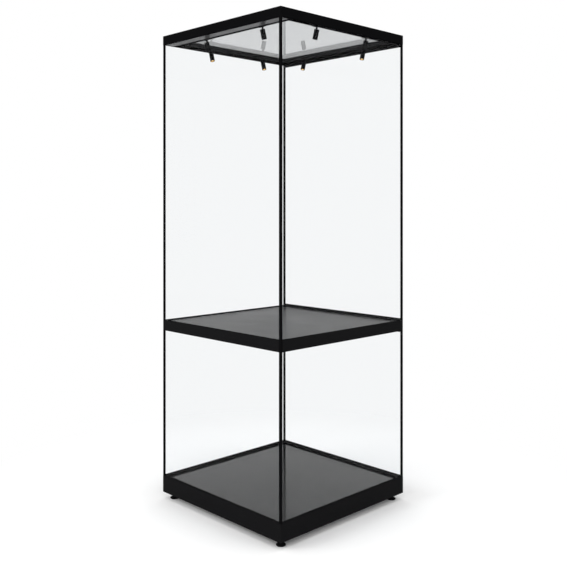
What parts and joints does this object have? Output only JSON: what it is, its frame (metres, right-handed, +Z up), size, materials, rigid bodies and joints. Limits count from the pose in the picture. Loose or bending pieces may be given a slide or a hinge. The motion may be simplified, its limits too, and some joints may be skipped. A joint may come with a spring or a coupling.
{
  "type": "display case",
  "caption": "Tall free-standing square glass display case with two chambers, black frame, glass ceiling and spotlights.",
  "frame": {"origin": "on the floor, centred under the case", "axes": "+Z up, front faces -Y, doors on the back at +Y, right side is +X"},
  "size_m": [0.8, 0.8, 2.18],
  "materials": {
    "frame_black": "satin powder coat",
    "soffit_grey": "satin",
    "board": "satin laminate",
    "track": "black anodised",
    "lamp_black": "satin",
    "glass": "clear polished",
    "lock_chrome": "polished",
    "steel": "zinc plated",
    "driver_white": "matte",
    "plastic_black": "matte"
  },
  "bodies": {
    "case": {"base_frame": "frame_black", "floor_panel": "board", "post_front_left": "frame_black", "post_front_right": "frame_black", "post_back_right": "frame_black", "post_back_left": "frame_black", "deck_frame": "frame_black", "deck_board": "board", "top_frame": "frame_black", "ceiling_frame": "frame_black", "front_soffit": "soffit_grey", "light_track": "track", "ceiling_glass": "glass", "lower_front_pane": "glass", "lower_left_pane": "glass", "lower_right_pane": "glass", "lower_lock_barrel": "lock_chrome", "upper_front_pane": "glass", "upper_left_pane": "glass", "upper_right_pane": "glass", "upper_lock_barrel": "lock_chrome", "led_driver": "driver_white", "cable_gland": "plastic_black"},
    "upper_door": {"upper_door_glass": "glass", "upper_door_top_rail": "frame_black", "upper_door_bottom_rail": "frame_black"},
    "upper_lock": {"upper_lock_plug": "steel"},
    "lower_door": {"lower_door_glass": "glass", "lower_door_top_rail": "frame_black", "lower_door_bottom_rail": "frame_black"},
    "lower_lock": {"lower_lock_plug": "steel"},
    "foot_front_left": {"foot_front_left": "frame_black"},
    "foot_front_right": {"foot_front_right": "frame_black"},
    "foot_back_right": {"foot_back_right": "frame_black"},
    "foot_back_left": {"foot_back_left": "frame_black"},
    "spot_front_right_adapter": {"spot_front_right_adapter": "lamp_black"},
    "spot_front_right_knuckle": {"spot_front_right_knuckle": "lamp_black"},
    "spot_front_right_head": {"spot_front_right_head": "lamp_black"},
    "spot_front_left_adapter": {"spot_front_left_adapter": "lamp_black"},
    "spot_front_left_knuckle": {"spot_front_left_knuckle": "lamp_black"},
    "spot_front_left_head": {"spot_front_left_head": "lamp_black"},
    "spot_right_front_adapter": {"spot_right_front_adapter": "lamp_black"},
    "spot_right_front_knuckle": {"spot_right_front_knuckle": "lamp_black"},
    "spot_right_front_head": {"spot_right_front_head": "lamp_black"},
    "spot_right_back_adapter": {"spot_right_back_adapter": "lamp_black"},
    "spot_right_back_knuckle": {"spot_right_back_knuckle": "lamp_black"},
    "spot_right_back_head": {"spot_right_back_head": "lamp_black"},
    "spot_back_right_adapter": {"spot_back_right_adapter": "lamp_black"},
    "spot_back_right_knuckle": {"spot_back_right_knuckle": "lamp_black"},
    "spot_back_right_head": {"spot_back_right_head": "lamp_black"},
    "spot_back_left_adapter": {"spot_back_left_adapter": "lamp_black"},
    "spot_back_left_knuckle": {"spot_back_left_knuckle": "lamp_black"},
    "spot_back_left_head": {"spot_back_left_head": "lamp_black"},
    "spot_left_back_adapter": {"spot_left_back_adapter": "lamp_black"},
    "spot_left_back_knuckle": {"spot_left_back_knuckle": "lamp_black"},
    "spot_left_back_head": {"spot_left_back_head": "lamp_black"},
    "spot_left_front_adapter": {"spot_left_front_adapter": "lamp_black"},
    "spot_left_front_knuckle": {"spot_left_front_knuckle": "lamp_black"},
    "spot_left_front_head": {"spot_left_front_head": "lamp_black"}
  },
  "joints": [
    {"name": "upper_door_hinge", "type": "hinge", "parent": "case", "child": "upper_door", "pos_m": [-0.381, 0.394, 0.84], "axis": [0, 0, 1], "range_deg": [0, 105]},
    {"name": "lower_door_hinge", "type": "hinge", "parent": "case", "child": "lower_door", "pos_m": [-0.381, 0.394, 0.1015], "axis": [0, 0, 1], "range_deg": [0, 105]},
    {"name": "upper_lock_turn", "type": "hinge", "parent": "case", "child": "upper_lock", "pos_m": [0.32, 0.39, 0.8095], "axis": [0, 1, 0], "range_deg": [0, 90]},
    {"name": "lower_lock_turn", "type": "hinge", "parent": "case", "child": "lower_lock", "pos_m": [0.32, 0.39, 0.071], "axis": [0, 1, 0], "range_deg": [0, 90]},
    {"name": "foot_front_left_screw", "type": "slide", "parent": "case", "child": "foot_front_left", "axis": [0, 0, -1], "range_m": [0, 0.015]},
    {"name": "foot_front_right_screw", "type": "slide", "parent": "case", "child": "foot_front_right", "axis": [0, 0, -1], "range_m": [0, 0.015]},
    {"name": "foot_back_right_screw", "type": "slide", "parent": "case", "child": "foot_back_right", "axis": [0, 0, -1], "range_m": [0, 0.015]},
    {"name": "foot_back_left_screw", "type": "slide", "parent": "case", "child": "foot_back_left", "axis": [0, 0, -1], "range_m": [0, 0.015]},
    {"name": "spot_front_right_travel", "type": "slide", "parent": "case", "child": "spot_front_right_adapter", "axis": [1, 0, 0], "range_m": [-0.05, 0.05]},
    {"name": "spot_front_right_turn", "type": "hinge", "parent": "spot_front_right_adapter", "child": "spot_front_right_knuckle", "pos_m": [0.201, -0.3137, 2.1384], "axis": [0, 0, 1], "range_deg": [-90, 90]},
    {"name": "spot_front_right_tilt", "type": "hinge", "parent": "spot_front_right_knuckle", "child": "spot_front_right_head", "pos_m": [0.201, -0.3137, 2.1254], "axis": [1, 0, 0], "range_deg": [-16, 44]},
    {"name": "spot_front_left_travel", "type": "slide", "parent": "case", "child": "spot_front_left_adapter", "axis": [1, 0, 0], "range_m": [-0.05, 0.05]},
    {"name": "spot_front_left_turn", "type": "hinge", "parent": "spot_front_left_adapter", "child": "spot_front_left_knuckle", "pos_m": [-0.176, -0.3137, 2.1384], "axis": [0, 0, 1], "range_deg": [-90, 90]},
    {"name": "spot_front_left_tilt", "type": "hinge", "parent": "spot_front_left_knuckle", "child": "spot_front_left_head", "pos_m": [-0.176, -0.3137, 2.1254], "axis": [1, 0, 0], "range_deg": [-16, 44]},
    {"name": "spot_right_front_travel", "type": "slide", "parent": "case", "child": "spot_right_front_adapter", "axis": [0, 1, 0], "range_m": [-0.05, 0.05]},
    {"name": "spot_right_front_turn", "type": "hinge", "parent": "spot_right_front_adapter", "child": "spot_right_front_knuckle", "pos_m": [0.3577, -0.147, 2.1384], "axis": [0, 0, 1], "range_deg": [-90, 90]},
    {"name": "spot_right_front_tilt", "type": "hinge", "parent": "spot_right_front_knuckle", "child": "spot_right_front_head", "pos_m": [0.3577, -0.147, 2.1254], "axis": [0, 1, 0], "range_deg": [-16, 44]},
    {"name": "spot_right_back_travel", "type": "slide", "parent": "case", "child": "spot_right_back_adapter", "axis": [0, 1, 0], "range_m": [-0.05, 0.05]},
    {"name": "spot_right_back_turn", "type": "hinge", "parent": "spot_right_back_adapter", "child": "spot_right_back_knuckle", "pos_m": [0.3577, 0.178, 2.1384], "axis": [0, 0, 1], "range_deg": [-90, 90]},
    {"name": "spot_right_back_tilt", "type": "hinge", "parent": "spot_right_back_knuckle", "child": "spot_right_back_head", "pos_m": [0.3577, 0.178, 2.1254], "axis": [0, 1, 0], "range_deg": [-16, 44]},
    {"name": "spot_back_right_travel", "type": "slide", "parent": "case", "child": "spot_back_right_adapter", "axis": [-1, 0, 0], "range_m": [-0.05, 0.05]},
    {"name": "spot_back_right_turn", "type": "hinge", "parent": "spot_back_right_adapter", "child": "spot_back_right_knuckle", "pos_m": [0.191, 0.3577, 2.1384], "axis": [0, 0, 1], "range_deg": [-90, 90]},
    {"name": "spot_back_right_tilt", "type": "hinge", "parent": "spot_back_right_knuckle", "child": "spot_back_right_head", "pos_m": [0.191, 0.3577, 2.1254], "axis": [-1, 0, 0], "range_deg": [-16, 44]},
    {"name": "spot_back_left_travel", "type": "slide", "parent": "case", "child": "spot_back_left_adapter", "axis": [-1, 0, 0], "range_m": [-0.05, 0.05]},
    {"name": "spot_back_left_turn", "type": "hinge", "parent": "spot_back_left_adapter", "child": "spot_back_left_knuckle", "pos_m": [-0.21, 0.3577, 2.1384], "axis": [0, 0, 1], "range_deg": [-90, 90]},
    {"name": "spot_back_left_tilt", "type": "hinge", "parent": "spot_back_left_knuckle", "child": "spot_back_left_head", "pos_m": [-0.21, 0.3577, 2.1254], "axis": [-1, 0, 0], "range_deg": [-16, 44]},
    {"name": "spot_left_back_travel", "type": "slide", "parent": "case", "child": "spot_left_back_adapter", "axis": [0, -1, 0], "range_m": [-0.05, 0.05]},
    {"name": "spot_left_back_turn", "type": "hinge", "parent": "spot_left_back_adapter", "child": "spot_left_back_knuckle", "pos_m": [-0.3577, 0.204, 2.1384], "axis": [0, 0, 1], "range_deg": [-90, 90]},
    {"name": "spot_left_back_tilt", "type": "hinge", "parent": "spot_left_back_knuckle", "child": "spot_left_back_head", "pos_m": [-0.3577, 0.204, 2.1254], "axis": [0, -1, 0], "range_deg": [-16, 44]},
    {"name": "spot_left_front_travel", "type": "slide", "parent": "case", "child": "spot_left_front_adapter", "axis": [0, -1, 0], "range_m": [-0.05, 0.05]},
    {"name": "spot_left_front_turn", "type": "hinge", "parent": "spot_left_front_adapter", "child": "spot_left_front_knuckle", "pos_m": [-0.3577, -0.141, 2.1384], "axis": [0, 0, 1], "range_deg": [-90, 90]},
    {"name": "spot_left_front_tilt", "type": "hinge", "parent": "spot_left_front_knuckle", "child": "spot_left_front_head", "pos_m": [-0.3577, -0.141, 2.1254], "axis": [0, -1, 0], "range_deg": [-16, 44]}
  ]
}
